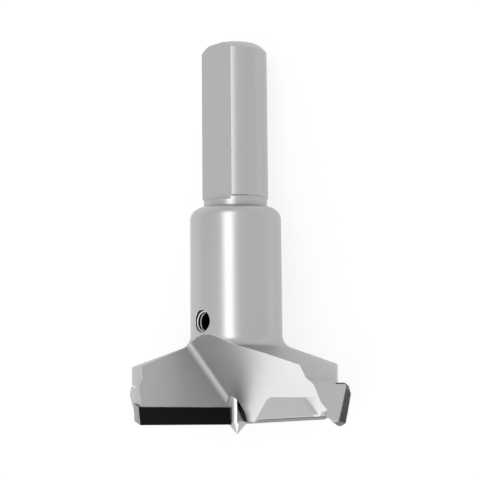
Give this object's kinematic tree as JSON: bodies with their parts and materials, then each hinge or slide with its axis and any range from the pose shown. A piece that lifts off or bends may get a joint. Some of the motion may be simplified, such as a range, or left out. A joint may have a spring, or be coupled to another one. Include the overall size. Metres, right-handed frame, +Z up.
{
  "type": "hinge boring bit",
  "caption": "Two-wing boring bit with a cylindrical shank, carbide cutters and spurs, and a centre point, for cutting flat-bottomed hinge holes in panels.",
  "frame": {"origin": "centre of the bounding box, on the surface that the bit lies on", "axes": "+Z up from that surface; +Y along the length, towards the shank's end, with the tool's own axis tilted down towards the shank's end; +X across the head"},
  "size_m": [0.0346, 0.059, 0.0249],
  "materials": {
    "body_steel": "satin, as ground and milled",
    "carbide": "ground tungsten carbide, dark grey",
    "ground_steel": "bright ground",
    "black_steel": "black oxide"
  },
  "bodies": {
    "root": {"body": "body_steel", "main_cutter_1": "carbide", "main_cutter_2": "carbide", "spur_cutter_1": "carbide", "spur_cutter_2": "carbide", "centre_point": "ground_steel", "point_screw": "black_steel"}
  },
  "joints": []
}
